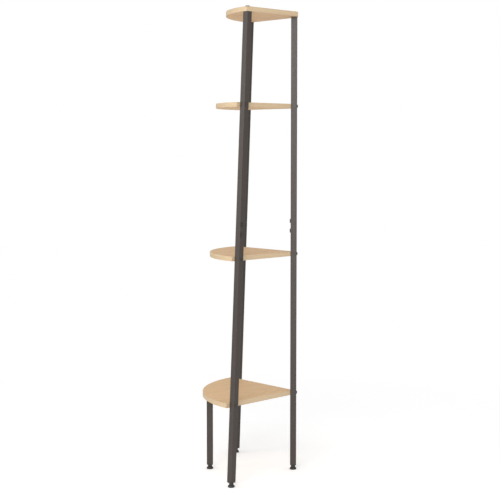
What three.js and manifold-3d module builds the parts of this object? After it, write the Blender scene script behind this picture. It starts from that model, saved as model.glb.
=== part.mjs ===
import * as THREE from 'three';
import { mergeVertices } from 'three/addons/utils/BufferGeometryUtils.js';
import Module from 'manifold-3d';

// Corner shelf unit: four quarter-round boards on a rear post, two leaning side rails and a
// short front leg. Millimetres, +Z up. The walls of the room's corner lie towards +X and +Y,
// and the boards open towards -X and -Y.

// Square tube
const tubeWidth = 20;
const tubeWall = 1.2;
const tubeCorner = 1.5;
const boreCorner = 0.5;

// Boards, and the clear heights below and between them
const boardThickness = 15;
const floorBay = 251;
const lowerBay = 445;
const middleBay = 465;
const upperBay = 279;

// Rails: distance along the wall from the post's centre to the rail's centre
const railFootReach = 289.3;
const railTopReach = 218;

// Boards past the outer faces of the rails, and the top board past the post
const bottomOverhang = 11.5;
const lowerOverhang = 9;
const upperOverhang = 11.5;
const topOverhang = 0.7;
const topRearOverhang = 2;

// Front leg: board edge to the leg's outer face
const frontLegInset = 13;

// Seam between the lower and upper tubes, above the lower board, and its inner sleeve
const seamRise = 84;
const sleeveLength = 80;
const sleeveWall = 2;
const jointScrewSpacing = 32;
const jointScrewReach = 8;

// Bolts and screws with a domed head and a hexagon socket. The shelf bolts have narrow heads with
// a low rim, and the joint screws and top bolts broad heads with a high rim.
const boltDiameter = 6;
const boltHeadHeight = 2.8;
const narrowHeadDiameter = 10.5;
const narrowHeadRim = 0.7;
const broadHeadDiameter = 13.5;
const broadHeadRim = 2.1;
const boltTipChamfer = 0.8;
const socketAcrossFlats = 4;
const socketDepth = 1.6;
const shelfBoltGrip = 12;
const topBoltGrip = 15;

// Threaded inserts in the boards
const insertDiameter = 10;
const edgeInsertLength = 13;
const legInsertLength = 10;

// Plugs in the tube ends
const topPlugLength = 20;
const footPlugLength = 22;
const footPlugFlange = 3;

// Double-ended stud that fixes the front leg under the bottom board
const legStudGrip = 12;
const legStudRise = 9;

// Levelling foot
const padDiameter = 22;
const padTopDiameter = 15;
const padRimHeight = 4.5;
const padHeight = 8;
const padFloor = 2.2;
const collarDiameter = 9;
const collarHeight = 2;
const neckDiameter = 6;
const hexAcrossFlats = 13;
const hexHeight = 6.4;
const footThreadDiameter = 8;
const footThreadGrip = 10;
const footTravel = 10;

// Clearance between seated pieces, and how far a cutter runs past what it cuts
const fitGap = 0.3;
const overrun = 1;

// Facets: sides of a round piece, of the pad, steps of the dome, of the tube's corner, of the arc
const roundSides = 12;
const padSides = 20;
const domeSteps = 3;
const cornerSteps = 1;
const arcSteps = 16;
const hexSides = 6;

// Heights and distances that follow from the sizes above
const halfTube = tubeWidth / 2;
const seat = halfTube + fitGap;
const footHeight = padHeight + fitGap + hexHeight + fitGap;
const tubeFoot = footHeight + footPlugFlange + fitGap;
const lowerUnderside = floorBay + boardThickness + lowerBay;
const upperUnderside = lowerUnderside + boardThickness + middleBay;
const topUnderside = upperUnderside + boardThickness + upperBay;
const tubeTop = topUnderside - fitGap;
const seamHeight = lowerUnderside + boardThickness + seamRise;
const railLean = (railFootReach - railTopReach) / (topUnderside - footHeight);
const wallSide = fitGap + tubeWidth;
const boltBore = boltDiameter + 2 * fitGap;
const insertBore = insertDiameter + 2 * fitGap;
const boreWidth = tubeWidth - 2 * tubeWall;
const plugWidth = boreWidth - 2 * fitGap;

const wasm = await Module();
wasm.setup();

// A point or a direction
const at = (x, y, z) => new THREE.Vector3(x, y, z);

// Distance of a rail's centre from the post's centre at a height
const railReach = (height) => railFootReach - railLean * (height - footHeight);

// Radius of a board that the rails run past, about the post's centre
function boardRadius(underside, overhang) {
  return railReach(underside + boardThickness / 2) + halfTube + overhang;
}

const edgeBoards = [
  { name: 'bottom', underside: floorBay, radius: boardRadius(floorBay, bottomOverhang) },
  { name: 'lower', underside: lowerUnderside, radius: boardRadius(lowerUnderside, lowerOverhang) },
  { name: 'upper', underside: upperUnderside, radius: boardRadius(upperUnderside, upperOverhang) },
];

// Materials, with the colours of the photograph

function oakBoard() {
  return new THREE.MeshStandardMaterial({ color: 0xd4b58c, roughness: 0.55, metalness: 0 });
}

function powderCoat() {
  return new THREE.MeshStandardMaterial({ color: 0x5b5754, roughness: 0.5, metalness: 0.3 });
}

function darkBolt() {
  return new THREE.MeshStandardMaterial({ color: 0x413c39, roughness: 0.4, metalness: 0.7 });
}

function blackPlastic() {
  return new THREE.MeshStandardMaterial({ color: 0x2c2a29, roughness: 0.6, metalness: 0 });
}

function zincPlate() {
  return new THREE.MeshStandardMaterial({ color: 0xb4b2ab, roughness: 0.35, metalness: 0.9 });
}

// Closed solid of a geometry, for cutting and joining
function solidOf(geometry) {
  const bare = geometry.clone();
  bare.deleteAttribute('normal');
  bare.deleteAttribute('uv');
  const merged = mergeVertices(bare);
  const corners = merged.index.array;
  const triangles = [];
  for (let i = 0; i < corners.length; i += 3) {
    const [a, b, c] = corners.slice(i, i + 3);
    if (a !== b && b !== c && c !== a) triangles.push(a, b, c);
  }
  const vertProperties = merged.attributes.position.array;
  const triVerts = new Uint32Array(triangles);
  return new wasm.Manifold(new wasm.Mesh({ numProp: 3, vertProperties, triVerts }));
}

// Geometry of a closed solid
function geometryOf(solid) {
  const mesh = solid.getMesh();
  const geometry = new THREE.BufferGeometry();
  geometry.setAttribute('position', new THREE.BufferAttribute(mesh.vertProperties, 3));
  geometry.setIndex(new THREE.BufferAttribute(mesh.triVerts, 1));
  const flat = geometry.toNonIndexed();
  flat.computeVertexNormals();
  return flat;
}

// The geometry with other geometries cut away
function cut(geometry, cutters) {
  let solid = solidOf(geometry);
  for (const cutter of cutters) solid = solid.subtract(solidOf(cutter));
  return geometryOf(solid);
}

// Several overlapping geometries joined into one
function join(geometries) {
  let solid = solidOf(geometries[0]);
  for (const geometry of geometries.slice(1)) solid = solid.add(solidOf(geometry));
  return geometryOf(solid);
}

// Straight round rod between two points
function rod(diameter, from, to, sides = roundSides) {
  const axis = to.clone().sub(from);
  const geometry = new THREE.CylinderGeometry(diameter / 2, diameter / 2, axis.length(), sides);
  geometry.translate(0, axis.length() / 2, 0);
  geometry.applyQuaternion(new THREE.Quaternion().setFromUnitVectors(at(0, 1, 0), axis.normalize()));
  geometry.translate(from.x, from.y, from.z);
  return geometry;
}

// Hexagonal bar along Y between two heights, by its width across flats
function hexBar(acrossFlats, from, to) {
  const acrossCorners = acrossFlats / Math.cos(Math.PI / hexSides);
  return rod(acrossCorners, at(0, from, 0), at(0, to, 0), hexSides);
}

// Solid of revolution about Y from its profile, listed from the bottom up
function turned(profile, sides = roundSides) {
  return new THREE.LatheGeometry(profile.map(([r, y]) => new THREE.Vector2(r, y)), sides);
}

// Named piece that stands at a place and points its own +Y in a direction
function piece(name, geometry, material, place = at(0, 0, 0), direction = null) {
  const mesh = new THREE.Mesh(geometry, material);
  mesh.name = name;
  mesh.position.copy(place);
  if (direction) mesh.quaternion.setFromUnitVectors(at(0, 1, 0), direction);
  return mesh;
}

// Square outline with rounded corners
function roundedSquare(width, corner, Outline = THREE.Shape) {
  const inset = width / 2 - corner;
  const outline = new Outline();
  for (let quarter = 0; quarter < 4; quarter++) {
    const start = quarter * Math.PI / 2;
    const x = quarter === 0 || quarter === 3 ? inset : -inset;
    const y = quarter < 2 ? inset : -inset;
    outline.absarc(x, y, corner, start, start + Math.PI / 2);
  }
  outline.closePath();
  return outline;
}

// Upright prism of an outline between two heights, leaning along -X as it rises: its ends stay
// level, and its width is true square to its own axis
function uprightPrism(outline, from, to, lean) {
  const settings = { depth: to - from, bevelEnabled: false, curveSegments: cornerSteps };
  const geometry = new THREE.ExtrudeGeometry(outline, settings);
  geometry.scale(Math.hypot(1, lean), 1, 1);
  geometry.translate(0, 0, from);
  geometry.applyMatrix4(new THREE.Matrix4().makeShear(0, 0, 0, 0, -lean, 0));
  return geometry;
}

// Square tube between two heights
function squareTube(width, wall, corner, from, to, lean) {
  const outline = roundedSquare(width, corner);
  outline.holes.push(roundedSquare(width - 2 * wall, boreCorner, THREE.Path));
  return uprightPrism(outline, from, to, lean);
}

// Point on an upright's centre line
const centre = (lean, height) => at(-lean * height, 0, height);

// Cutter for a bolt hole through both walls of an upright
function throughHole(lean, height, direction) {
  const reach = direction.clone().multiplyScalar(halfTube + overrun);
  const middle = centre(lean, height);
  return rod(boltBore, middle.clone().sub(reach), middle.clone().add(reach));
}

// Cutter for a screw hole through the wall that faces a direction
function wallHole(lean, height, direction) {
  const reach = direction.clone().multiplyScalar(halfTube + overrun);
  const middle = centre(lean, height);
  return rod(boltBore, middle, middle.clone().add(reach));
}

// Domed bolt, its head's underside at zero and its shank running down
function bolt(headDiameter, rimHeight, length) {
  const headRadius = headDiameter / 2;
  const shankRadius = boltDiameter / 2;
  const profile = [
    [0, -length],
    [shankRadius - boltTipChamfer, -length],
    [shankRadius, boltTipChamfer - length],
    [shankRadius, 0],
    [headRadius, 0],
  ];
  for (let step = 0; step <= domeSteps; step++) {
    const angle = step / domeSteps * Math.PI / 2;
    const dome = (boltHeadHeight - rimHeight) * Math.sin(angle);
    profile.push([step === domeSteps ? 0 : headRadius * Math.cos(angle), rimHeight + dome]);
  }
  const socket = hexBar(socketAcrossFlats, boltHeadHeight - socketDepth, boltHeadHeight + overrun);
  return cut(turned(profile), [socket]);
}

// Threaded insert, its mouth at zero and its body running down
function insert(length) {
  const outer = insertDiameter / 2;
  const inner = boltBore / 2;
  return turned([[inner, -length], [outer, -length], [outer, 0], [inner, 0], [inner, -length]]);
}

// Plug with a threaded bore, down from a tube's upper end
function topPlug(top, lean) {
  const body = uprightPrism(roundedSquare(plugWidth, boreCorner), top - topPlugLength, top, lean);
  const foot = centre(lean, top);
  const bore = rod(boltBore, at(foot.x, 0, top - topPlugLength - overrun), at(foot.x, 0, top + overrun));
  return cut(body, [bore]);
}

// Plug with a flange and a threaded bore, up from a tube's lower end
function footPlug(lean) {
  const shoulder = footHeight + footPlugFlange;
  const top = shoulder + footPlugLength;
  const flange = uprightPrism(roundedSquare(tubeWidth, tubeCorner), footHeight, shoulder, lean);
  const body = uprightPrism(roundedSquare(plugWidth, boreCorner), footHeight + fitGap, top, lean);
  const foot = centre(lean, footHeight);
  const bore = footThreadDiameter + 2 * fitGap;
  const cutter = rod(bore, at(foot.x, 0, footHeight - overrun), at(foot.x, 0, top + overrun));
  return cut(join([flange, body]), [cutter]);
}

// Round pad of a levelling foot, with a pocket for the stud's collar
function footPad() {
  const mouth = neckDiameter / 2 + fitGap;
  const pocket = collarDiameter / 2 + fitGap;
  const pocketTop = padFloor + collarHeight + 2 * fitGap;
  return turned([
    [0, 0],
    [padDiameter / 2, 0],
    [padDiameter / 2, padRimHeight],
    [padTopDiameter / 2, padHeight],
    [mouth, padHeight],
    [mouth, pocketTop],
    [pocket, pocketTop],
    [pocket, padFloor],
    [0, padFloor],
  ], padSides);
}

// Stud of a levelling foot: collar, neck, hexagon and thread
function footStud() {
  const collarFoot = padFloor + fitGap;
  const hexFoot = padHeight + fitGap;
  const hexTop = hexFoot + hexHeight;
  const top = hexTop + footThreadGrip + footTravel;
  const threadRadius = footThreadDiameter / 2;
  const lower = turned([
    [0, collarFoot],
    [collarDiameter / 2, collarFoot],
    [collarDiameter / 2, collarFoot + collarHeight],
    [neckDiameter / 2, collarFoot + collarHeight],
    [neckDiameter / 2, hexTop - fitGap],
    [threadRadius, hexTop - fitGap],
    [threadRadius, top - boltTipChamfer],
    [threadRadius - boltTipChamfer, top],
    [0, top],
  ]);
  return join([lower, hexBar(hexAcrossFlats, hexFoot, hexTop)]);
}

// Plug, pad and stud under an upright
function foot(name, lean) {
  const group = new THREE.Group();
  const place = centre(lean, footHeight).setZ(0);
  group.add(piece(`${name}_foot_plug`, footPlug(lean), blackPlastic()));
  group.add(piece(`${name}_foot_pad`, footPad(), blackPlastic(), place, at(0, 0, 1)));
  group.add(piece(`${name}_foot_stud`, footStud(), darkBolt(), place, at(0, 0, 1)));
  return group;
}

// Lower and upper tube of an upright, with the sleeve inside their seam
function tubes(name, lean, boltSide, screwSide) {
  const screwHeights = [seamHeight - jointScrewSpacing / 2, seamHeight + jointScrewSpacing / 2];
  const sleeveWidth = boreWidth - 2 * fitGap;
  const spans = [
    { half: 'lower', from: tubeFoot, to: seamHeight - fitGap / 2 },
    { half: 'upper', from: seamHeight + fitGap / 2, to: tubeTop },
  ];
  const group = new THREE.Group();
  for (const { half, from, to } of spans) {
    const inSpan = (height) => height > from && height < to;
    const boltHeights = edgeBoards.map((board) => board.underside + boardThickness / 2).filter(inSpan);
    const holes = boltHeights.map((height) => throughHole(lean, height, boltSide));
    holes.push(...screwHeights.filter(inSpan).map((height) => wallHole(lean, height, screwSide)));
    const tube = squareTube(tubeWidth, tubeWall, tubeCorner, from, to, lean);
    group.add(piece(`${name}_${half}_tube`, cut(tube, holes), powderCoat()));
  }
  const sleeveFoot = seamHeight - sleeveLength / 2;
  const sleeve = squareTube(sleeveWidth, sleeveWall, boreCorner, sleeveFoot, sleeveFoot + sleeveLength, lean);
  const sleeveHoles = screwHeights.map((height) => wallHole(lean, height, screwSide));
  group.add(piece(`${name}_sleeve`, cut(sleeve, sleeveHoles), zincPlate()));
  screwHeights.forEach((height, index) => {
    const place = centre(lean, height).addScaledVector(screwSide, seat);
    const geometry = bolt(broadHeadDiameter, broadHeadRim, fitGap + jointScrewReach);
    group.add(piece(`${name}_joint_screw_${index + 1}`, geometry, darkBolt(), place, screwSide));
  });
  return group;
}

// Bolts from an upright into the edges of the lower boards, with their inserts
function shelfBolts(name, lean, boltSide) {
  const group = new THREE.Group();
  for (const board of edgeBoards) {
    const middle = centre(lean, board.underside + boardThickness / 2);
    const head = middle.clone().addScaledVector(boltSide, seat);
    const mouth = middle.clone().addScaledVector(boltSide, -seat);
    const geometry = bolt(narrowHeadDiameter, narrowHeadRim, 2 * seat + shelfBoltGrip);
    group.add(piece(`${name}_${board.name}_bolt`, geometry, darkBolt(), head, boltSide));
    group.add(piece(`${name}_${board.name}_insert`, insert(edgeInsertLength), zincPlate(), mouth, boltSide));
  }
  return group;
}

// Plug in an upright's upper end and the bolt down into it through the top board
function topFixing(name, lean) {
  const group = new THREE.Group();
  const place = centre(lean, tubeTop).setZ(topUnderside + boardThickness + fitGap);
  const length = boardThickness + 2 * fitGap + topBoltGrip;
  const geometry = bolt(broadHeadDiameter, broadHeadRim, length);
  group.add(piece(`${name}_top_plug`, topPlug(tubeTop, lean), blackPlastic()));
  group.add(piece(`${name}_top_bolt`, geometry, darkBolt(), place, at(0, 0, 1)));
  return group;
}

// Full-height upright that stands at a place on the floor
function upright(name, place, lean, boltSide, screwSide) {
  const group = new THREE.Group();
  group.position.copy(place);
  group.add(tubes(name, lean, boltSide, screwSide));
  group.add(shelfBolts(name, lean, boltSide));
  group.add(topFixing(name, lean));
  group.add(foot(name, lean));
  return group;
}

// Short leg under the middle of the bottom board's arc, fixed from below
function frontLeg() {
  const group = new THREE.Group();
  const legTop = floorBay - fitGap;
  const tube = squareTube(tubeWidth, tubeWall, tubeCorner, tubeFoot, legTop, 0);
  const stud = rod(boltDiameter, at(0, 0, legTop - legStudGrip), at(0, 0, floorBay + legStudRise));
  const mouth = at(0, 0, floorBay);
  group.position.x = edgeBoards[0].radius - frontLegInset - halfTube;
  group.add(piece('front_leg_tube', tube, powderCoat()));
  group.add(piece('front_leg_top_plug', topPlug(legTop, 0), blackPlastic()));
  group.add(piece('front_leg_stud', stud, zincPlate()));
  group.add(piece('front_leg_insert', insert(legInsertLength), zincPlate(), mouth, at(0, 0, -1)));
  group.add(foot('front_leg', 0));
  return group;
}

// Quarter-round board: its straight edges lie a reach towards the walls from the post's centre,
// its arc is struck from the point where they would meet, and its rear corner is cut square to
// the diagonal
function quarterBoard(reach, radius, rear, underside) {
  const cutBack = rear * Math.SQRT2 + reach;
  const outline = new THREE.Shape();
  outline.moveTo(cutBack, -reach);
  outline.lineTo(radius - reach, -reach);
  outline.absarc(-reach, -reach, radius, 0, Math.PI / 2);
  outline.lineTo(-reach, cutBack);
  outline.closePath();
  const settings = { depth: boardThickness, bevelEnabled: false, curveSegments: arcSteps };
  return new THREE.ExtrudeGeometry(outline, settings).translate(0, 0, underside);
}

// Cutter for an insert's hole, from a board's face at a place inwards
function insertHole(place, inwards, length) {
  const start = place.clone().addScaledVector(inwards, -overrun);
  const end = place.clone().addScaledVector(inwards, length + fitGap);
  return rod(insertBore, start, end);
}

// Board whose edges take the bolts of the rails and the post
function edgeBoard({ name, underside, radius }) {
  const middle = underside + boardThickness / 2;
  const diagonal = at(1, 1, 0).normalize();
  const holes = [
    insertHole(at(railReach(middle), 0, middle), at(0, 1, 0), edgeInsertLength),
    insertHole(at(0, railReach(middle), middle), at(1, 0, 0), edgeInsertLength),
    insertHole(diagonal.clone().multiplyScalar(seat).setZ(middle), diagonal, edgeInsertLength),
  ];
  if (name === 'bottom') {
    const leg = diagonal.clone().multiplyScalar(radius - frontLegInset - halfTube).setZ(underside);
    holes.push(insertHole(leg, at(0, 0, 1), legInsertLength));
  }
  return piece(`${name}_shelf`, cut(quarterBoard(0, radius, seat, underside), holes), oakBoard());
}

// Board that lies on the uprights' ends, with a bolt hole over each
function topBoard() {
  const radius = wallSide + railTopReach + halfTube + topOverhang;
  const board = quarterBoard(wallSide, radius, -(halfTube + topRearOverhang), topUnderside);
  const reach = railReach(tubeTop);
  const holes = [at(0, 0, 0), at(reach, -seat, 0), at(-seat, reach, 0)].map((place) => rod(
    boltBore,
    place.clone().setZ(topUnderside - overrun),
    place.clone().setZ(topUnderside + boardThickness + overrun),
  ));
  return piece('top_shelf', cut(board, holes), oakBoard());
}

// Everything that stands on the diagonal from the room's corner
function diagonalFrame() {
  const group = new THREE.Group();
  group.rotation.z = Math.PI / 4;
  group.add(upright('rear_post', at(0, 0, 0), 0, at(-1, 0, 0), at(1, 0, 0)));
  group.add(frontLeg());
  return group;
}

// A rail along one wall: turn brings the group's +X along that wall, and the wall lies towards
// +Y or -Y of the turned group
function wallRail(name, turn, wallSign) {
  const group = new THREE.Group();
  const wall = at(0, wallSign, 0);
  group.rotation.z = turn;
  group.add(upright(name, at(railReach(0), wallSign * seat, 0), railLean, wall, wall));
  return group;
}

// In this group the walls lie towards -X and -Y of the post
const corner = new THREE.Group();
edgeBoards.forEach((board) => corner.add(edgeBoard(board)));
corner.add(topBoard());
corner.add(diagonalFrame());
corner.add(wallRail('left_rail', 0, -1));
corner.add(wallRail('right_rail', Math.PI / 2, 1));

// Half a turn brings the walls towards +X and +Y, and the origin lies on the floor under the
// middle of the unit's outline
const roomReach = Math.max(railFootReach + padDiameter / 2, ...edgeBoards.map((board) => board.radius));
const wallReach = seat + halfTube + fitGap + boltHeadHeight;
corner.rotation.z = Math.PI;
corner.position.set((roomReach - wallReach) / 2, (roomReach - wallReach) / 2, 0);

const unit = new THREE.Group();
unit.add(corner);

export default unit;
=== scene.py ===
import math

import bmesh
import bpy
from mathutils import Matrix, Vector


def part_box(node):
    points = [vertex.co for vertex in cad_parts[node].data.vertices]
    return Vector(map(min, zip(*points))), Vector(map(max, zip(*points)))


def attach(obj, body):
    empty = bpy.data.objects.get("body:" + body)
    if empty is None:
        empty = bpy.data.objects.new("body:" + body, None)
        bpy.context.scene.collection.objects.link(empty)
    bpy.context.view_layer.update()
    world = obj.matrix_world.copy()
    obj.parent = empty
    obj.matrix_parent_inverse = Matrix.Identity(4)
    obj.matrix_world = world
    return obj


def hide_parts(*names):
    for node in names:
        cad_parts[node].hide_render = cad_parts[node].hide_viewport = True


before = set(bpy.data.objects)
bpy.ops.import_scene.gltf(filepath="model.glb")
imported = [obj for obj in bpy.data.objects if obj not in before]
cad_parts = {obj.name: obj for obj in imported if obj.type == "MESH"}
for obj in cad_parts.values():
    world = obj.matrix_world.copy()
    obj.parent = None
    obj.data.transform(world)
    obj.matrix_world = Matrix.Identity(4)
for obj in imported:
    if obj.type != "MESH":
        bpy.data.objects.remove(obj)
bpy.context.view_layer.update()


# The view. The unit is seen square to the diagonal of the room's corner, through a long lens
# held a little below the third board: the rear post stands on the right, the arcs point left.
def middle_of(node):
    """Middle of a CAD node's box."""
    return sum(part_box(node), Vector()) / 2


def under(node):
    """Point of the floor straight under the middle of a CAD node."""
    return middle_of(node) * Vector((1, 1, 0))


post_axis = under("rear_post_lower_tube")
to_corner = Vector((1, 1, 0)).normalized()
away = Vector((-1, 1, 0)).normalized()
upward = Vector((0, 0, 1))
lens_offset = 0.05998
lens_distance = 3.838
lens_height = 1.07204
lens_pitch = 0.07612
lens_yaw = 0.02159
camera = bpy.data.objects.new("camera", bpy.data.cameras.new("camera"))
camera.data.lens = 84.65
camera.data.shift_y = -0.03
camera.location = post_axis - to_corner * lens_offset - away * lens_distance + upward * lens_height
camera.rotation_euler = (math.pi / 2 - lens_pitch, 0, math.pi / 4 + lens_yaw)
bpy.context.scene.collection.objects.link(camera)
bpy.context.scene.camera = camera
bpy.context.scene.view_settings.view_transform = "Standard"


# The floor and the light. A plain white floor stands for the room, under an even white sky. A
# large soft lamp hangs high on the camera's left and lights the upper half most.
class Link:
    """An output of a node. Sums on it add Math nodes, and node() adds any other node."""

    def __init__(self, tree, socket=None):
        self.tree = tree
        self.socket = socket

    def node(self, kind, settings=None, values=None, output=0):
        """An output of a new node, made from its type, its settings and its sockets' values."""
        made = self.tree.nodes.new(kind)
        for name, setting in (settings or {}).items():
            if name == "stops":
                ramp = made.color_ramp.elements
                for index, (position, colour) in enumerate(setting):
                    stop = ramp[index] if index < len(ramp) else ramp.new(position)
                    stop.position = position
                    stop.color = (*colour, 1)
            else:
                setattr(made, name, setting)
        for name, value in (values or {}).items():
            for item in value if isinstance(value, list) else [value]:
                if isinstance(item, Link):
                    self.tree.links.new(item.socket, made.inputs[name])
                else:
                    made.inputs[name].default_value = item
        return Link(self.tree, made.outputs[output])

    def output(self, name):
        """Another output of the same node."""
        return Link(self.tree, self.socket.node.outputs[name])

    def into(self, node, name):
        """Feeds this into a socket of a node."""
        self.tree.links.new(self.socket, node.inputs[name])

    def math(self, operation, *values):
        """A Math node on these numbers or links."""
        return self.node("ShaderNodeMath", {"operation": operation}, dict(enumerate(values)))

    def through(self, operation, *others):
        """This number taken through a Math node, first in its sockets."""
        return self.math(operation, self, *others)

    def __add__(self, other):
        return self.math("ADD", self, other)

    def __radd__(self, other):
        return self.math("ADD", other, self)

    def __sub__(self, other):
        return self.math("SUBTRACT", self, other)

    def __rsub__(self, other):
        return self.math("SUBTRACT", other, self)

    def __mul__(self, other):
        return self.math("MULTIPLY", self, other)

    def __rmul__(self, other):
        return self.math("MULTIPLY", other, self)

    def __truediv__(self, other):
        return self.math("DIVIDE", self, other)

    def __pow__(self, other):
        return self.math("POWER", self, other)

    def __gt__(self, other):
        return self.math("GREATER_THAN", self, other)

    def between(self, low, high):
        """Rises smoothly from 0 at low to 1 at high."""
        settings = {"interpolation_type": "SMOOTHSTEP"}
        values = {"Value": self, "From Min": low, "From Max": high}
        return self.node("ShaderNodeMapRange", settings, values)

    def noise(self, scale, detail=2.0, roughness=0.5):
        """Noise over this place, with its own scale along each axis, in cells per metre."""
        stretched = self.node("ShaderNodeMapping", values={"Vector": self, "Scale": scale})
        values = {"Vector": stretched, "Scale": 1.0, "Detail": detail, "Roughness": roughness}
        return self.node("ShaderNodeTexNoise", values=values)

    def mix(self, low, high):
        """A colour between two, by this factor."""
        values = {0: self, 6: low, 7: high}
        return self.node("ShaderNodeMix", {"data_type": "RGBA"}, values, output=2)

    def attribute(self, name):
        """A number that the mesh holds at each point."""
        return self.node("ShaderNodeAttribute", {"attribute_name": name}, output="Fac")

    def bump(self, depth, strength):
        """Relief from this height, where 1 stands for a depth in metres."""
        values = {"Height": self, "Distance": depth, "Strength": strength}
        return self.node("ShaderNodeBump", values=values)


def new_material(name):
    """A material, its shader, and the place on the piece to start its expressions from."""
    material = bpy.data.materials.new(name)
    material.use_nodes = True
    shader = material.node_tree.nodes["Principled BSDF"]
    place = Link(material.node_tree).node("ShaderNodeTexCoord", output="Object")
    return material, shader, place


def softbox(name, direction, distance, height, width, tall, power):
    """A soft lamp of a width and height that looks at the middle of the unit."""
    lamp = bpy.data.objects.new(name, bpy.data.lights.new(name, "AREA"))
    lamp.data.shape = "RECTANGLE"
    lamp.data.size = width
    lamp.data.size_y = tall
    lamp.data.energy = power
    lamp.location = post_axis + direction.normalized() * distance + upward * height
    lamp.rotation_euler = (lamp_aim - lamp.location).to_track_quat("-Z", "Y").to_euler()
    lamp.visible_camera = False
    bpy.context.scene.collection.objects.link(lamp)


lamp_aim = Vector((0, 0, 0.75))
key_side = -away - to_corner * 0.28
room_side = -to_corner - away * 0.2
softbox("key_lamp", key_side, distance=3.0, height=2.1, width=1.8, tall=1.8, power=42.0)
softbox("front_lamp", -away, distance=3.5, height=1.0, width=0.6, tall=2.0, power=15.0)
softbox("side_lamp", room_side, distance=2.5, height=1.6, width=0.9, tall=1.8, power=9.0)

sky = bpy.data.worlds.new("sky")
sky.use_nodes = True
bpy.context.scene.world = sky
seen = Link(sky.node_tree).node("ShaderNodeLightPath", output="Is Camera Ray")
sky_light = 0.64
background = sky.node_tree.nodes["Background"]
background.inputs["Color"].default_value = (1, 1, 1, 1)
(sky_light + seen * (1 - sky_light)).into(background, "Strength")

floor_reach = 30
floor_glow = 0.28
fade_start = 0.7
fade_end = 1.8
floor_mesh = bpy.data.meshes.new("floor")
floor_corners = [(x * floor_reach, y * floor_reach, 0) for x, y in ((-1, -1), (1, -1), (1, 1), (-1, 1))]
floor_mesh.from_pydata(floor_corners, [], [(0, 1, 2, 3)])
floor = bpy.data.objects.new("floor", floor_mesh)
bpy.context.scene.collection.objects.link(floor)
white, white_shader, white_place = new_material("white_floor")
white_shader.inputs["Base Color"].default_value = (0.94, 0.94, 0.94, 1)
white_shader.inputs["Roughness"].default_value = 0.9
white_shader.inputs["Specular IOR Level"].default_value = 0.1
white_shader.inputs["Emission Color"].default_value = (1, 1, 1, 1)
floor_seen = white_place.node("ShaderNodeLightPath", output="Is Camera Ray")
floor_front = 1 - white_place.node("ShaderNodeNewGeometry", output="Backfacing")
from_middle = white_place.node("ShaderNodeVectorMath", {"operation": "LENGTH"}, {0: white_place}, "Value")
(floor_seen * floor_glow).into(white_shader, "Emission Strength")
floor_front.into(white_shader, "Alpha")
near_white = Link(white.node_tree, white_shader.outputs["BSDF"])
far_white = white_place.node("ShaderNodeEmission", values={"Color": (1, 1, 1, 1), "Strength": 1.0})
fade = floor_seen * floor_front * from_middle.between(fade_start, fade_end)
whole_floor = fade.node("ShaderNodeMixShader", values={0: fade, 1: near_white, 2: far_white})
whole_floor.into(white.node_tree.nodes["Material Output"], "Surface")
floor_mesh.materials.append(white)


# The boards. Quarter-round panels of 15 mm chipboard with light oak laminate on both faces, and a
# 1 mm band of the same look ironed on all round and scraped to a soft edge. The edges are drilled
# for threaded inserts, the bottom board also from below, and the top board for its bolts.
band_thickness = 0.001
band_arris = 0.0007
arris_steps = 4
arc_steps = 72
cut_from_post = 0.0103
top_side_reach = 0.0203
top_rear_reach = 0.012
diagonal = math.sqrt(2)
corner_strip = 0.003
hole_strip = 0.016
hole_sides = 32
hole_width = 0.0066
insert_hole_width = 0.0106
hole_past_end = 0.0005
insert_axes = {"rear_post": to_corner, "left_rail": Vector((0, 1, 0)), "right_rail": Vector((1, 0, 0))}


def oak(name, tones, on_band=False):
    """Oak print with its grain along Y, or along the band's own length: growth rings cut
    lengthwise, slow streaks, fibres, and short pores that are densest in the dark ring lines."""
    material, shader, place = new_material(name)
    if on_band:
        rise = place.node("ShaderNodeSeparateXYZ", values={0: place}, output="Z")
        place = place.node("ShaderNodeCombineXYZ", values={0: rise * 2.0, 1: place.attribute("along")})
    side = place.node("ShaderNodeSeparateXYZ", values={0: place})
    length = side.output("Y")
    level = side.output("Z")
    sheet = place.node("ShaderNodeCombineXYZ", values={0: side, 1: length, 2: level * 9.0})
    wander = sheet.noise((9.0, 2.2, 1.0)) - 0.5
    fine = sheet.noise((70.0, 10.0, 1.0), detail=3.0) - 0.5
    streak = sheet.noise((55.0, 2.0, 1.0), detail=3.0, roughness=0.6) - 0.5
    fibre = sheet.noise((1100.0, 24.0, 1.0), detail=3.0, roughness=0.7) - 0.5
    pore = sheet.noise((2300.0, 90.0, 1.0), detail=1.0).between(0.6, 0.72)

    rings_per_metre = 95.0
    heart_side = 0.03
    heart_sway = 0.05
    ring_wander = 0.05
    trunk_start = 0.45
    trunk_slant = 0.16
    heart = (level * 5.3).through("SINE") * heart_sway + heart_side
    from_heart = side - heart + wander * ring_wander
    along_trunk = (length + trunk_start + wander * (2 * ring_wander)) * trunk_slant
    ring = (from_heart * from_heart + along_trunk * along_trunk) ** 0.5 * rings_per_metre + fine * 0.6
    dark_line = (1 - ring.through("FRACT")) ** 3.0

    tone = 0.58 - dark_line * 0.26 + streak * 1.25 + fibre * 0.5 - pore * (0.2 + dark_line * 0.5)
    stops = [(index / 2, colour) for index, colour in enumerate(tones)]
    colour = tone.node("ShaderNodeValToRGB", {"stops": stops}, {"Fac": tone})
    rough = 0.53 + fibre * 0.16 + pore * 0.12
    if on_band:
        rub = place.attribute("wear") * (0.35 + fine)
        colour = rub.mix(colour, (0.36, 0.27, 0.18, 1))
        rough = rough + rub * 0.2
    colour.into(shader, "Base Color")
    rough.into(shader, "Roughness")
    (fibre * 0.5 - pore).bump(depth=0.0002, strength=0.5).into(shader, "Normal")
    shader.inputs["Specular IOR Level"].default_value = 0.4
    return material


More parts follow.
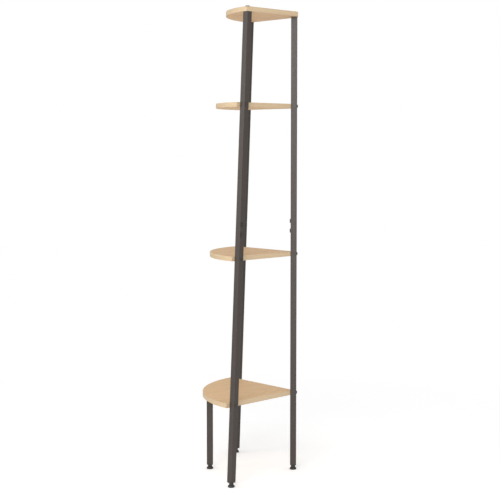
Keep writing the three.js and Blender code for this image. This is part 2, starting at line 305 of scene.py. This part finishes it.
face_tones = ((0.64, 0.396, 0.199), (0.765, 0.51, 0.276), (0.84, 0.592, 0.34))
band_tones = ((0.565, 0.404, 0.235), (0.663, 0.497, 0.313), (0.734, 0.572, 0.378))
oak_face = oak("oak_face", face_tones)
oak_band = oak("oak_band", band_tones, on_band=True)


def ring_solid(name, rings, capped=False):
    """Closed mesh through loops of points: capped at both ends, or its last loop joined to its first."""
    work = bmesh.new()
    loops = [[work.verts.new(point) for point in ring] for ring in rings]
    pairs = list(zip(loops, loops[1:]))
    if capped:
        work.faces.new(loops[0])
        work.faces.new(loops[-1])
    else:
        pairs.append((loops[-1], loops[0]))
    for first, second in pairs:
        for index in range(len(first)):
            after = (index + 1) % len(first)
            work.faces.new((first[index], first[after], second[after], second[index]))
    bmesh.ops.recalc_face_normals(work, faces=work.faces)
    mesh = bpy.data.meshes.new(name)
    work.to_mesh(mesh)
    work.free()
    piece = bpy.data.objects.new(name, mesh)
    bpy.context.scene.collection.objects.link(piece)
    return piece


def mark_wear(mesh):
    """Notes how sharp the mesh is at each point, from 0 on a flat to 1 on an edge."""
    blunt = 18
    sharp = 42
    work = bmesh.new()
    work.from_mesh(mesh)
    bends = []
    for vertex in work.verts:
        bends.append(max(math.degrees(edge.calc_face_angle(0)) for edge in vertex.link_edges))
    work.free()
    wear = mesh.attributes.new("wear", "FLOAT", "POINT")
    wear.data.foreach_set("value", [min(max((bend - blunt) / (sharp - blunt), 0), 1) for bend in bends])


def settle(piece, material, sharp_angle=40):
    """Shades the piece smooth but for its sharp edges, as a plain mesh of one material."""
    piece.data.shade_smooth()
    piece.data.set_sharp_from_angle(angle=math.radians(sharp_angle))
    piece.modifiers.new("even_shading", "WEIGHTED_NORMAL").keep_sharp = True
    graph = bpy.context.evaluated_depsgraph_get()
    mesh = bpy.data.meshes.new_from_object(piece.evaluated_get(graph))
    piece.modifiers.clear()
    piece.data = mesh
    mesh.name = piece.name
    mesh.materials.clear()
    mesh.materials.append(material)
    mark_wear(mesh)


def hole_for(node, axis, width):
    """Rod for the hole that a CAD node sits in, just past both its ends."""
    reaches = [vertex.co.dot(axis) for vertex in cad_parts[node].data.vertices]
    reach = axis * ((max(reaches) - min(reaches)) / 2 + hole_past_end)
    return middle_of(node) - reach, middle_of(node) + reach, width


def drill(piece, rods):
    """Cuts round holes in a piece, each given by two points on its axis and its width."""
    work = bmesh.new()
    for start, end, width in rods:
        middle = Matrix.Translation((start + end) / 2)
        turn = (end - start).to_track_quat("Z", "Y").to_matrix().to_4x4()
        bmesh.ops.create_cone(work, cap_ends=True, segments=hole_sides, radius1=width / 2,
                              radius2=width / 2, depth=(end - start).length, matrix=middle @ turn)
    mesh = bpy.data.meshes.new("rods")
    work.to_mesh(mesh)
    work.free()
    cutter = bpy.data.objects.new("rods", mesh)
    bpy.context.scene.collection.objects.link(cutter)
    cut = piece.modifiers.new("drill", "BOOLEAN")
    cut.solver = "EXACT"
    cut.object = cutter
    graph = bpy.context.evaluated_depsgraph_get()
    piece.data = bpy.data.meshes.new_from_object(piece.evaluated_get(graph))
    piece.modifiers.clear()
    bpy.data.objects.remove(cutter)


def join_frame(piece, body, slot, *nodes):
    """The piece rides on a body and stands for CAD nodes."""
    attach(piece, body)
    if nodes:
        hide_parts(*nodes)


def board_outline(apex, radius, cut, splits, inset, height):
    """Plan of a board at a height, inset from its edge: its arc, and its corner cut at the rear.
    The splits part its straight edges where they are drilled or worn."""
    reach = radius - inset
    start = math.asin(inset / reach)
    plan = []
    for step in range(arc_steps + 1):
        angle = start + (math.pi / 2 - 2 * start) * step / arc_steps
        plan.append((reach * math.cos(angle), reach * math.sin(angle)))
    back = cut + inset * (diagonal - 1)
    plan += [(inset, split) for split in splits]
    plan += [(inset, back), (back, inset)]
    plan += [(split, inset) for split in reversed(splits)]
    return [(apex.x - across, apex.y - along, height) for across, along in plan]


def arris_profile(low, high):
    """Depth and height of the points round a band, from its glued side and back to it."""
    profile = [(band_thickness, low)]
    for base, sign in ((low, 1), (high, -1)):
        arc = []
        for step in range(arris_steps + 1):
            angle = step / arris_steps * math.pi / 2
            depth = band_arris * (1 - math.sin(angle))
            arc.append((depth, base + sign * band_arris * (1 - math.cos(angle))))
        profile += arc if sign > 0 else arc[::-1]
    return profile + [(band_thickness, high)]


def mark_run(mesh, apex, radius, cut):
    """Notes how far along the band each corner of its faces lies, from one end of the arc on."""
    arc_inside = radius - 1.2 * band_thickness
    run = mesh.attributes.new("along", "FLOAT", "CORNER")
    for face in mesh.polygons:
        middle = apex - face.center
        on_arc = math.hypot(middle.x, middle.y) > arc_inside
        on_cut = abs(middle.x - middle.y) < cut / 2
        for corner in face.loop_indices:
            place = apex - mesh.vertices[mesh.loops[corner].vertex_index].co
            if on_arc:
                run.data[corner].value = radius * math.atan2(place.y, place.x)
            elif on_cut:
                run.data[corner].value = (place.x - place.y) / diagonal
            elif middle.y < middle.x:
                run.data[corner].value = place.x - radius
            else:
                run.data[corner].value = radius * (math.pi / 2 + 1) - place.y


for name in ("bottom", "lower", "upper", "top"):
    low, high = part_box(f"{name}_shelf")
    apex = Vector((high.x, high.y, 0))
    radius = high.x - low.x
    if name == "top":
        rear_cut = 2 * top_side_reach - top_rear_reach * diagonal
        splits = []
        holes = [hole_for(f"{upright}_top_bolt", upward, hole_width) for upright in insert_axes]
    else:
        rear_cut = cut_from_post * diagonal
        insert_reach = apex.y - middle_of(f"right_rail_{name}_insert").y
        splits = [insert_reach + hole_strip / 2, insert_reach - hole_strip / 2]
        holes = [hole_for(f"{upright}_{name}_insert", axis, insert_hole_width)
                 for upright, axis in insert_axes.items()]
    if name == "bottom":
        holes.append(hole_for("front_leg_insert", upward, insert_hole_width))
    splits = [radius - corner_strip, *splits, rear_cut + corner_strip]
    plan = (apex, radius, rear_cut, splits)
    panel_loops = [board_outline(*plan, band_thickness, height) for height in (low.z, high.z)]
    panel = ring_solid(f"{name}_board", panel_loops, capped=True)
    drill(panel, holes)
    settle(panel, oak_face)
    join_frame(panel, "frame", "board", f"{name}_shelf")
    band_loops = [board_outline(*plan, inset, height) for inset, height in arris_profile(low.z, high.z)]
    band = ring_solid(f"{name}_edge_band", band_loops)
    drill(band, holes)
    settle(band, oak_band)
    mark_run(band.data, apex, radius, rear_cut)
    join_frame(band, "frame", "board")


# The uprights. Square steel tube, 20 mm wide with a 1.2 mm wall and round corners, cut level,
# drilled for its bolts and powder-coated dark brown-grey. The post and both rails come in two
# lengths joined by a sleeve, and the front leg is one short length.
coat, coat_shader, coat_place = new_material("powder_coat")
coat_peel = coat_place.noise((900.0, 900.0, 900.0))
coat_speckle = coat_place.noise((3600.0, 3600.0, 3600.0), detail=1.0)
coat_cloud = coat_place.noise((14.0, 14.0, 5.0))
coat_patches = coat_place.noise((60.0, 60.0, 12.0), detail=3.0)
coat_rub = coat_place.attribute("corner") * coat_patches.between(0.45, 0.7)
coat_tone = coat_cloud * 0.4 + coat_speckle * 0.45 + coat_rub * 0.5
coat_tone.mix((0.043, 0.032, 0.026, 1), (0.068, 0.053, 0.045, 1)).into(coat_shader, "Base Color")
(0.31 + coat_peel * 0.12 - coat_rub * 0.06).into(coat_shader, "Roughness")
(coat_peel + coat_speckle * 0.35).bump(depth=0.0003, strength=0.5).into(coat_shader, "Normal")

tube_width = 0.020
tube_wall = 0.0012
tube_corner = 0.0018
bore_corner = 0.0008
end_bevel = 0.0002
corner_steps = 6
seat_gap = 0.0003
screw_spacing = 0.032
drill_past_face = 0.001
rail_climb = middle_of("right_rail_upper_tube") - middle_of("right_rail_lower_tube")
rail_lean = rail_climb.y / rail_climb.z
# How far each upright leans for its height, how far it is turned, in degrees, and on which of its
# own sides the heads of its shelf bolts and of its joint screws stand.
leans = {"rear_post": 0.0, "left_rail": rail_lean, "right_rail": rail_lean, "front_leg": 0.0}
turns = {"rear_post": 225, "left_rail": 180, "right_rail": 270, "front_leg": 225}
bolt_sides = {
    "rear_post": Vector((-1, 0, 0)),
    "left_rail": Vector((0, -1, 0)),
    "right_rail": Vector((0, 1, 0)),
}
screw_sides = {**bolt_sides, "rear_post": Vector((1, 0, 0))}


def square_loop(width, corner, height, lean, side_steps=1):
    """Rounded square at a height on an upright that leans along -X as it rises."""
    points = []
    for quarter in range(4):
        x = (width / 2 - corner) * (1 if quarter in (0, 3) else -1)
        y = (width / 2 - corner) * (1 if quarter < 2 else -1)
        for step in range(corner_steps + 1):
            angle = (quarter + step / corner_steps) * math.pi / 2
            across_lean = (x + corner * math.cos(angle)) * math.hypot(1, lean)
            points.append(Vector((across_lean - lean * height, y + corner * math.sin(angle), height)))
    loop = []
    for index, point in enumerate(points):
        loop.append(point)
        if index % (corner_steps + 1) == corner_steps:
            after = points[(index + 1) % len(points)]
            loop += [point.lerp(after, step / side_steps) for step in range(1, side_steps)]
    return loop


def mark_corners(mesh, place, lean):
    """Notes which points of an upright lie on its round corners."""
    corner_start = tube_width / 2 - tube_corner * 0.8
    marks = mesh.attributes.new("corner", "FLOAT", "POINT")
    inverse = place.inverted()
    for index, vertex in enumerate(mesh.vertices):
        point = inverse @ vertex.co
        across_lean = (point.x + lean * point.z) / math.hypot(1, lean)
        marks.data[index].value = float(min(abs(across_lean), abs(point.y)) > corner_start)


def tube(name, place, low, high, lean, rods=()):
    """Length of tube between two heights, with level ends and drilled holes."""
    inner_width = tube_width - 2 * tube_wall
    loops = [
        square_loop(inner_width, bore_corner, low, lean),
        square_loop(tube_width - 2 * end_bevel, tube_corner, low, lean),
        square_loop(tube_width, tube_corner, low + end_bevel, lean),
        square_loop(tube_width, tube_corner, high - end_bevel, lean),
        square_loop(tube_width - 2 * end_bevel, tube_corner, high, lean),
        square_loop(inner_width, bore_corner, high, lean),
    ]
    piece = ring_solid(name, [[place @ point for point in loop] for loop in loops])
    if rods:
        drill(piece, rods)
    settle(piece, coat, sharp_angle=35)
    mark_corners(piece.data, place, lean)
    return piece


def upright_place(name):
    """Where an upright stands: its axis meets its foot pad's axis at the foot of its plug."""
    foot = Matrix.Translation(under(f"{name}_foot_pad"))
    turn = Matrix.Rotation(math.radians(turns[name]), 4, "Z")
    plug_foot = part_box(f"{name}_foot_plug")[0].z
    return foot @ turn @ Matrix.Translation((leans[name] * plug_foot, 0, 0))


uprights = ("rear_post", "left_rail", "right_rail")
boards_on_uprights = ("bottom", "lower", "upper")
board_middles = [middle_of(f"{name}_shelf").z for name in boards_on_uprights]
seam_height = (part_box("rear_post_lower_tube")[1].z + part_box("rear_post_upper_tube")[0].z) / 2
seat = tube_width / 2 + seat_gap
drill_reach = tube_width / 2 + drill_past_face
shelf_bolt_seats = []
joint_screw_seats = []
for name in uprights:
    place = upright_place(name)
    turned = place.to_3x3()
    lean = leans[name]
    bolt_side = bolt_sides[name]
    screw_side = screw_sides[name]
    rods = []
    for height in board_middles:
        middle = Vector((-lean * height, 0, height))
        reach = bolt_side * drill_reach
        rods.append((place @ (middle - reach), place @ (middle + reach), hole_width))
        shelf_bolt_seats.append((place @ (middle + bolt_side * seat), turned @ bolt_side))
    for height in (seam_height - screw_spacing / 2, seam_height + screw_spacing / 2):
        middle = Vector((-lean * height, 0, height))
        rods.append((place @ middle, place @ (middle + screw_side * drill_reach), hole_width))
        joint_screw_seats.append((place @ (middle + screw_side * seat), turned @ screw_side))
    for half in ("lower", "upper"):
        node = f"{name}_{half}_tube"
        low, high = (corner.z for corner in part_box(node))
        own_rods = [rod for rod in rods if low < rod[0].z < high]
        length = tube(f"{name}_{half}", place, low, high, lean, own_rods)
        join_frame(length, "frame", "tube", node)

leg_low, leg_high = (corner.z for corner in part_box("front_leg_tube"))
leg = tube("front_leg", upright_place("front_leg"), leg_low, leg_high, 0.0)
join_frame(leg, "frame", "tube", "front_leg_tube")


# The hidden metal: sleeves inside the seams, threaded inserts in the boards, and the stud on top
# of the front leg. Zinc-plated steel, drawn or turned, with a fine brushed grain.
zinc, zinc_shader, zinc_place = new_material("zinc_plate")
zinc_cloud = zinc_place.noise((160.0, 160.0, 160.0), detail=3.0)
zinc_line = zinc_place.noise((3000.0, 3000.0, 160.0))
zinc_cloud.mix((0.42, 0.42, 0.40, 1), (0.56, 0.55, 0.52, 1)).into(zinc_shader, "Base Color")
zinc_shader.inputs["Metallic"].default_value = 1.0
(0.25 + zinc_line * 0.2).into(zinc_shader, "Roughness")
zinc_line.bump(depth=0.00003, strength=0.4).into(zinc_shader, "Normal")
for name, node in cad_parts.items():
    if name.endswith(("_sleeve", "_insert")) or name == "front_leg_stud":
        node.material_slots[0].material = zinc


# The hidden plugs in the uprights' upper ends and on the front leg. Black nylon, moulded with a
# fine spark-eroded grain, pressed in and threaded for the bolts.
nylon, nylon_shader, nylon_place = new_material("black_nylon")
nylon_grain = nylon_place.noise((2600.0, 2600.0, 2600.0))
nylon_cloud = nylon_place.noise((90.0, 90.0, 90.0))
nylon_wear = nylon_place.attribute("wear")
nylon_tone = nylon_cloud * 0.6 + nylon_wear * nylon_cloud
nylon_tone.mix((0.022, 0.021, 0.020, 1), (0.050, 0.048, 0.046, 1)).into(nylon_shader, "Base Color")
(0.3 + nylon_grain * 0.15 + nylon_wear * 0.1).into(nylon_shader, "Roughness")
nylon_grain.bump(depth=0.00008, strength=0.4).into(nylon_shader, "Normal")
for name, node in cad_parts.items():
    if name.endswith("_top_plug"):
        node.material_slots[0].material = nylon


# The bolts and screws. M6 furniture bolts of dark coated steel with a hexagon socket. Narrow
# round heads hold the boards' edges to the uprights, and broad flat ones the seams and the top.
steel, steel_shader, steel_place = new_material("dark_steel")
steel_cloud = steel_place.noise((420.0, 420.0, 420.0))
steel_grain = steel_place.noise((3800.0, 3800.0, 3800.0))
steel_rub = steel_place.attribute("wear") * steel_cloud.between(0.45, 0.7)
steel_tone = steel_cloud.mix((0.052, 0.048, 0.045, 1), (0.105, 0.098, 0.092, 1))
steel_rub.mix(steel_tone, (0.20, 0.195, 0.19, 1)).into(steel_shader, "Base Color")
steel_shader.inputs["Metallic"].default_value = 0.75
(0.28 + steel_cloud * 0.12 + steel_grain * 0.1).into(steel_shader, "Roughness")
steel_grain.bump(depth=0.00004, strength=0.4).into(steel_shader, "Normal")


def new_tree(name, sizes):
    """A geometry tree with a mesh in and out and one named input for each size."""
    tree = bpy.data.node_groups.new(name, "GeometryNodeTree")
    tree.interface.new_socket("Geometry", in_out="OUTPUT", socket_type="NodeSocketGeometry")
    tree.interface.new_socket("Geometry", in_out="INPUT", socket_type="NodeSocketGeometry")
    kinds = {int: "NodeSocketInt", float: "NodeSocketFloat", bpy.types.Material: "NodeSocketMaterial"}
    for size, value in sizes.items():
        tree.interface.new_socket(size, in_out="INPUT", socket_type=kinds[type(value)])
    return tree, Link(tree).node("NodeGroupInput")


def run_tree(piece, tree, sizes):
    """Runs a tree on a piece with these sizes, and keeps the plain mesh that it gives."""
    change = piece.modifiers.new(tree.name, "NODES")
    change.node_group = tree
    for socket in tree.interface.items_tree:
        if socket.in_out == "INPUT" and socket.name in sizes:
            change[socket.identifier] = sizes[socket.name]
    graph = bpy.context.evaluated_depsgraph_get()
    mesh = bpy.data.meshes.new_from_object(piece.evaluated_get(graph))
    piece.modifiers.clear()
    piece.data = mesh
    mesh.name = piece.name


shelf_bolt = {
    "Head diameter": 0.0105,
    "Head height": 0.0026,
    "Rim height": 0.0006,
    "Dome roundness": 0.86,
    "Socket width": 0.004,
    "Socket depth": 0.0016,
    "Shank diameter": 0.006,
    "Shank length": 0.0326,
    "Head sides": 64,
    "Seed": 3,
    "Finish": steel,
}
broad_head = {"Head diameter": 0.0135, "Rim height": 0.0019, "Dome roundness": 0.6}
joint_screw = {**shelf_bolt, **broad_head, "Shank length": 0.0083, "Seed": 5}
top_bolt = {**shelf_bolt, **broad_head, "Shank length": 0.0306, "Seed": 8}
dome_steps = 14
shank_sides = 32
shank_overlap = 0.0004
worn_angle = math.radians(30)
crease_angle = math.radians(38)

bolt_tree, given = new_tree("domed_bolt", shelf_bolt)
head_height = given.output("Head height")
rim_height = given.output("Rim height")
head = given.node("GeometryNodeMeshCylinder", values={
    "Vertices": given.output("Head sides"), "Side Segments": dome_steps,
    "Radius": given.output("Head diameter") / 2, "Depth": head_height})
point = given.node("GeometryNodeInputPosition")
axes = given.node("ShaderNodeSeparateXYZ", values={0: point})
rise = axes.output("Z") + head_height / 2
climb = ((rise - rim_height) / (head_height - rim_height)).through("MAXIMUM", 0.0)
narrowing = (1 - climb * climb * given.output("Dome roundness")) ** 0.5
domed_place = given.node("ShaderNodeCombineXYZ", values={
    0: axes * narrowing, 1: axes.output("Y") * narrowing, 2: rise})
domed = given.node("GeometryNodeSetPosition", values={"Geometry": head, "Position": domed_place})
shank_length = given.output("Shank length")
shank_rod = given.node("GeometryNodeMeshCylinder", values={
    "Vertices": shank_sides, "Radius": given.output("Shank diameter") / 2,
    "Depth": shank_length + shank_overlap})
shank_place = given.node("ShaderNodeCombineXYZ", values={2: (shank_overlap - shank_length) / 2})
shank = given.node("GeometryNodeTransform", values={"Geometry": shank_rod, "Translation": shank_place})
socket_prism = given.node("GeometryNodeMeshCylinder", values={
    "Vertices": 6, "Radius": given.output("Socket width") / math.sqrt(3),
    "Depth": given.output("Socket depth") * 2})
socket_place = given.node("ShaderNodeCombineXYZ", values={2: head_height})
socket_cutter = given.node("GeometryNodeTransform", values={
    "Geometry": socket_prism, "Translation": socket_place})
headed = given.node("GeometryNodeMeshBoolean", {"operation": "UNION", "solver": "EXACT"}, {
    "Mesh 2": [domed, shank]})
socketed = given.node("GeometryNodeMeshBoolean", {"operation": "DIFFERENCE", "solver": "EXACT"}, {
    "Mesh 1": headed, "Mesh 2": socket_cutter})
smooth = given.node("GeometryNodeSetShadeSmooth", values={"Geometry": socketed})
bend = given.node("GeometryNodeInputMeshEdgeAngle")
worn = given.node("GeometryNodeStoreNamedAttribute", {"data_type": "FLOAT", "domain": "POINT"}, {
    "Geometry": smooth, "Name": "wear", "Value": bend > worn_angle})
creased = given.node("GeometryNodeStoreNamedAttribute", {"data_type": "BOOLEAN", "domain": "EDGE"}, {
    "Geometry": worn, "Name": "sharp_edge", "Value": bend > crease_angle})
facing = given.node("GeometryNodeInputNamedAttribute", {"data_type": "FLOAT_VECTOR"}, {"Name": "facing"})
outward_turn = given.node("FunctionNodeAlignRotationToVector", {"axis": "Z"}, {"Vector": facing})
twist = given.node("FunctionNodeRandomValue", {"data_type": "FLOAT"}, {
    2: 0.0, 3: 2 * math.pi, "Seed": given.output("Seed")}, output=1)
twist_turn = given.node("FunctionNodeAxisAngleToRotation", values={"Axis": (0, 0, 1), "Angle": twist})
turned_bolt = given.node("FunctionNodeRotateRotation", {"rotation_space": "LOCAL"}, {
    "Rotation": outward_turn, "Rotate By": twist_turn})
copies = given.node("GeometryNodeInstanceOnPoints", values={
    "Points": given, "Instance": creased, "Rotation": turned_bolt})
real = given.node("GeometryNodeRealizeInstances", values={"Geometry": copies})
coated = given.node("GeometryNodeSetMaterial", values={
    "Geometry": real, "Material": given.output("Finish")})
coated.into(bolt_tree.nodes.new("NodeGroupOutput"), 0)


def bolts(name, seats, nodes, sizes):
    """Bolts of one kind, each with its head on a seat and turned at random in its hole."""
    mesh = bpy.data.meshes.new(name)
    mesh.from_pydata([place for place, direction in seats], [], [])
    facing = mesh.attributes.new("facing", "FLOAT_VECTOR", "POINT")
    for index, (place, direction) in enumerate(seats):
        facing.data[index].vector = direction
    piece = bpy.data.objects.new(name, mesh)
    bpy.context.scene.collection.objects.link(piece)
    run_tree(piece, bolt_tree, sizes)
    join_frame(piece, "frame", "bolt", *nodes)


shelf_bolt_nodes = [f"{name}_{board}_bolt" for name in uprights for board in boards_on_uprights]
bolts("shelf_bolts", shelf_bolt_seats, shelf_bolt_nodes, shelf_bolt)
joint_screw_nodes = [f"{name}_joint_screw_{index}" for name in uprights for index in (1, 2)]
bolts("joint_screws", joint_screw_seats, joint_screw_nodes, joint_screw)
top_seat = upward * (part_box("top_shelf")[1].z + seat_gap)
top_bolt_nodes = [f"{name}_top_bolt" for name in uprights]
bolts("top_bolts", [(under(node) + top_seat, upward) for node in top_bolt_nodes], top_bolt_nodes, top_bolt)


# The foot plugs. Black nylon, moulded: a square flange closes the tube's lower end, a body fits
# inside it, and the foot's stud screws up into a bore. The plug leans with its upright.
play = 0.0003
thread_width = 0.008
plug_flange = 0.003
plug_body_width = 0.017
plug_body_length = 0.022
plug_bevel = 0.0005
bevel_middle_share = 0.3
plug_lead = 0.002
plug_lead_inset = 0.0007
plug_side_steps = 12


def foot_plug(name):
    """Flange, body and a plain bore, as loops with the same count of points."""
    place = upright_place(name)
    lean = leans[name]
    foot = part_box(f"{name}_foot_plug")[0].z
    shoulder = foot + plug_flange
    top = shoulder + plug_body_length
    bore = thread_width + 2 * play
    centre = Vector((-lean * foot, 0, 0))

    def side_loop(width, corner, height):
        return square_loop(width, corner, height, lean, plug_side_steps)

    def bore_loop(width, height):
        ring = []
        for point in side_loop(tube_width, tube_corner, foot):
            outward = (point - centre) * Vector((1, 1, 0))
            ring.append(Vector((centre.x, 0, height)) + outward.normalized() * width / 2)
        return ring

    bevel_middle = plug_bevel * bevel_middle_share
    loops = [
        bore_loop(bore, foot + plug_bevel), bore_loop(bore + 2 * plug_bevel, foot),
        side_loop(tube_width - 2 * plug_bevel, tube_corner, foot),
        side_loop(tube_width - 2 * bevel_middle, tube_corner, foot + bevel_middle),
        side_loop(tube_width, tube_corner, foot + plug_bevel),
        side_loop(tube_width, tube_corner, shoulder),
        side_loop(plug_body_width, bore_corner, shoulder),
        side_loop(plug_body_width, bore_corner, top - plug_lead),
        side_loop(plug_body_width - 2 * plug_lead_inset, bore_corner, top),
        bore_loop(bore, top),
    ]
    piece = ring_solid(f"{name}_tube_plug", [[place @ point for point in loop] for loop in loops])
    settle(piece, nylon, sharp_angle=35)
    return piece


for name in leans:
    join_frame(foot_plug(name), "frame", "plastic", f"{name}_foot_plug")


# The pads. Round black nylon mouldings, 22 mm wide. Each lies flat on the floor, and the stud's
# collar turns in the pocket inside it.
pad_width = 0.02196
pad_top_width = 0.015
pad_rim = 0.0045
pad_height = 0.008
pad_floor = 0.0022
pad_foot_bend = ((0.0012, 0.0), (0.0004, 0.0002), (0.0, 0.0007))
pad_rim_bend = ((0.0, -0.0009), (0.0004, -0.0003), (0.0012, 0.0))
pad_shoulder_bend = ((-0.0014, -0.0008), (-0.0004, -0.0002), (0.0008, 0.0))
pad_mouth_bend = ((-0.0006, 0.0), (0.0, -0.0003))
collar_width = 0.009
collar_height = 0.002
neck_width = 0.006
turn_sides = 72


def bent(width, level, bend):
    """Widths and heights round a bent edge, from how much narrower and higher each point is."""
    return [(width - narrower, level + higher) for narrower, higher in bend]


def round_loop(width, height):
    """Circle at a height."""
    points = []
    for index in range(turn_sides):
        angle = 2 * math.pi * index / turn_sides
        points.append(Vector((width / 2 * math.cos(angle), width / 2 * math.sin(angle), height)))
    return points


def pad(name):
    """Turned profile of a pad from the rim of its base to the floor of its pocket."""
    mouth = neck_width + 2 * play
    pocket = collar_width + 2 * play
    pocket_top = pad_floor + collar_height + 2 * play
    profile = [
        *bent(pad_width, 0.0, pad_foot_bend), *bent(pad_width, pad_rim, pad_rim_bend),
        *bent(pad_top_width, pad_height, pad_shoulder_bend), *bent(mouth, pad_height, pad_mouth_bend),
        (mouth, pocket_top), (pocket, pocket_top), (pocket, pad_floor),
    ]
    stand = under(f"{name}_foot_pad")
    loops = [[stand + point for point in round_loop(width, height)] for width, height in profile]
    piece = ring_solid(f"{name}_pad", loops, capped=True)
    settle(piece, nylon, sharp_angle=50)
    return piece


for name in leans:
    join_frame(pad(name), f"{name}_pad", "plastic", f"{name}_foot_pad")


# The levelling studs. M8 studs of the same dark steel as the bolts, turned up or down by a 13 mm
# hexagon. The collar below it sits in the pad, and the rolled thread runs up into the foot plug.
collar_foot_bend = ((0.0008, 0.0), (0.0, 0.0004))
collar_top_bend = ((0.0, -0.0003), (0.0006, 0.0))
hexagon_width = 0.013
hexagon_height = 0.0064
hexagon_chamfer = 0.0006
chamfer_end = 0.0009
chamfer_steps = 8
turned_share = 0.97
stud_length = 0.020
stud_tip = 0.001
thread_pitch = 0.00125
thread_depth = 0.00065
thread_steps = 8
flank_slope = 1.25
crest_share = 0.125


def hexagon_loop(limit, height):
    """Hexagon at a height, its corners turned down to a circle."""
    points = []
    for index in range(turn_sides):
        angle = 2 * math.pi * index / turn_sides
        sixth = (angle + math.pi / 6) % (math.pi / 3) - math.pi / 6
        radius = min(hexagon_width / 2 / math.cos(sixth), limit)
        points.append(Vector((radius * math.cos(angle), radius * math.sin(angle), height)))
    return points


thread_sizes = {"Width": thread_width, "Pitch": thread_pitch, "Depth": thread_depth, "Finish": steel}
thread_tree, rolled = new_tree("rolled_thread", thread_sizes)
point = rolled.node("GeometryNodeInputPosition")
axes = rolled.node("ShaderNodeSeparateXYZ", values={0: point})
angle = axes.output("Y").through("ARCTAN2", axes)
thread_turn = axes.output("Z") / rolled.output("Pitch") - angle / (2 * math.pi)
flank = (thread_turn.through("FRACT") * 2 - 1).through("ABSOLUTE")
groove = (flank * flank_slope - crest_share).through("MAXIMUM", 0.0).through("MINIMUM", 1.0)
amount = rolled.node("GeometryNodeInputNamedAttribute", {"data_type": "FLOAT"}, {"Name": "thread"})
shrink = 1 - amount * groove * rolled.output("Depth") * 2 / rolled.output("Width")
threaded_place = rolled.node("ShaderNodeCombineXYZ", values={
    0: axes * shrink, 1: axes.output("Y") * shrink, 2: axes.output("Z")})
threaded = rolled.node("GeometryNodeSetPosition", values={"Geometry": rolled, "Position": threaded_place})
whole = rolled.node("GeometryNodeRealizeInstances", values={"Geometry": threaded})
finished = rolled.node("GeometryNodeSetMaterial", values={
    "Geometry": whole, "Material": rolled.output("Finish")})
finished.into(thread_tree.nodes.new("NodeGroupOutput"), 0)


def stud(name):
    """Collar, neck, hexagon with turned corners, and threaded shank."""
    collar_foot = pad_floor + play
    collar_top = collar_foot + collar_height
    hexagon_foot = pad_height + play
    hexagon_top = hexagon_foot + hexagon_height
    stud_top = hexagon_top + stud_length
    turned = [
        *bent(collar_width, collar_foot, collar_foot_bend),
        *bent(collar_width, collar_top, collar_top_bend),
        (neck_width, collar_top), (neck_width, hexagon_foot),
    ]
    corner = hexagon_width / math.sqrt(3)
    flat = hexagon_width / 2 * turned_share
    chamfer = []
    for step in range(chamfer_steps + 1):
        share = step / chamfer_steps
        chamfer.append((flat + (corner - flat) * share, hexagon_chamfer * share))
    chamfer.append((corner, chamfer_end))
    loops = [round_loop(width, level) for width, level in turned]
    loops += [hexagon_loop(limit, hexagon_foot + inset) for limit, inset in chamfer]
    loops += [hexagon_loop(limit, hexagon_top - inset) for limit, inset in reversed(chamfer)]
    plain_loops = len(loops)
    steps = round(stud_length / thread_pitch * thread_steps)
    levels = [hexagon_top + (stud_length - stud_tip) * step / steps for step in range(steps + 1)]
    loops += [round_loop(thread_width, level) for level in levels]
    loops.append(round_loop(thread_width - 2 * stud_tip, stud_top))
    piece = ring_solid(f"{name}_levelling_stud", loops, capped=True)

    # The thread fades in over its first turn and out over its last.
    fades = [min(step / thread_steps, (steps - step) / thread_steps, 1.0) for step in range(steps + 1)]
    weights = [fade for fade in [0.0] * plain_loops + fades + [0.0] for side in range(turn_sides)]
    piece.data.attributes.new("thread", "FLOAT", "POINT").data.foreach_set("value", weights)
    run_tree(piece, thread_tree, thread_sizes)
    settle(piece, steel, sharp_angle=30)
    piece.data.transform(Matrix.Translation(under(f"{name}_foot_pad")))
    return piece


for name in leans:
    join_frame(stud(name), f"{name}_stud", "bolt", f"{name}_foot_stud")
